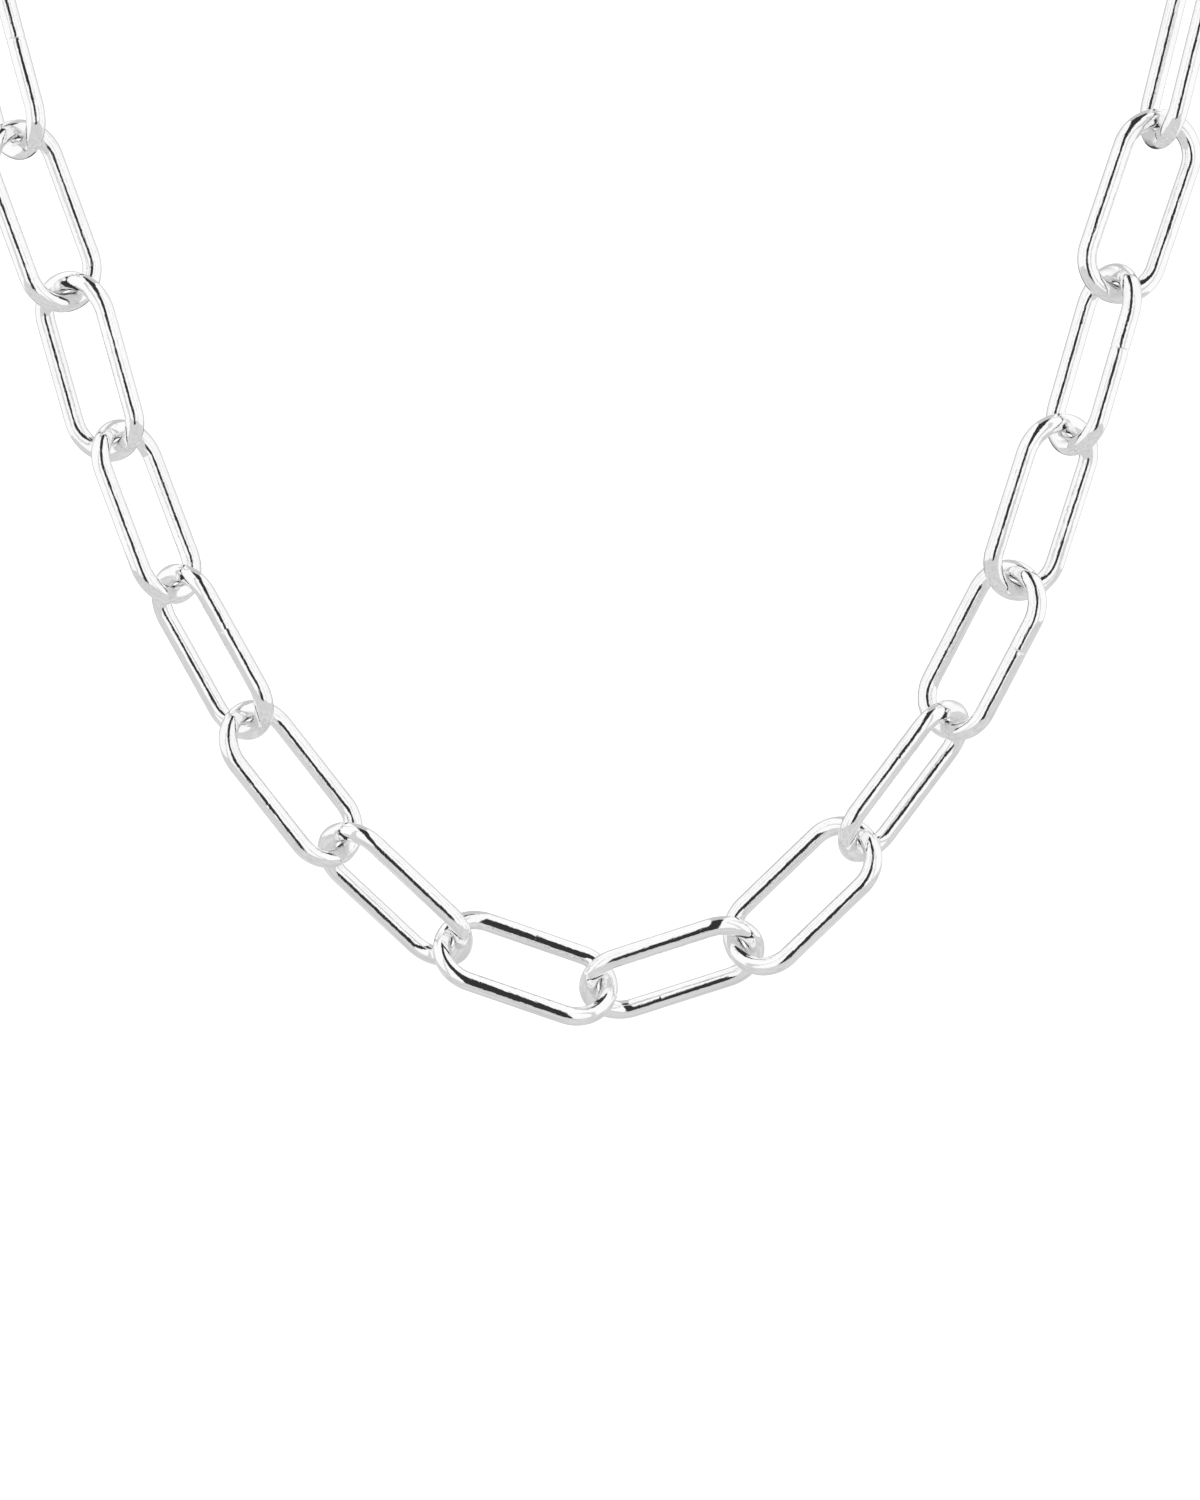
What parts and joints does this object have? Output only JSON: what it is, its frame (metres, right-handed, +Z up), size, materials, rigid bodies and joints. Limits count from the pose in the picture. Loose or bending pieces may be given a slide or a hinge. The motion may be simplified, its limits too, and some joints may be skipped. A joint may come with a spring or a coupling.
{
  "type": "paperclip chain necklace",
  "caption": "Necklace of long oval round-wire links, each hooked through the next and turned against it, closed by a small clasp at the nape.",
  "frame": {"origin": "the middle of the nape, on the line of the chain", "axes": "+X across from the wearer's right side to the left, -Y to the front, +Z up"},
  "size_m": [0.1184, 0.098, 0.1393],
  "materials": {
    "silver": "highly polished silver",
    "clasp_silver": "polished silver"
  },
  "bodies": {
    "root": {"link_01": "silver", "link_02": "silver", "link_03": "silver", "link_04": "silver", "link_05": "silver", "link_06": "silver", "link_07": "silver", "link_08": "silver", "link_09": "silver", "link_10": "silver", "link_11": "silver", "link_12": "silver", "link_13": "silver", "link_14": "silver", "link_15": "silver", "link_16": "silver", "link_17": "silver", "link_18": "silver", "link_19": "silver", "link_20": "silver", "link_21": "silver", "link_22": "silver", "link_23": "silver", "link_24": "silver", "link_25": "silver", "link_26": "silver", "link_27": "silver", "link_28": "silver", "link_29": "silver", "link_30": "silver", "link_31": "silver", "link_32": "silver", "clasp": "clasp_silver"}
  },
  "joints": []
}
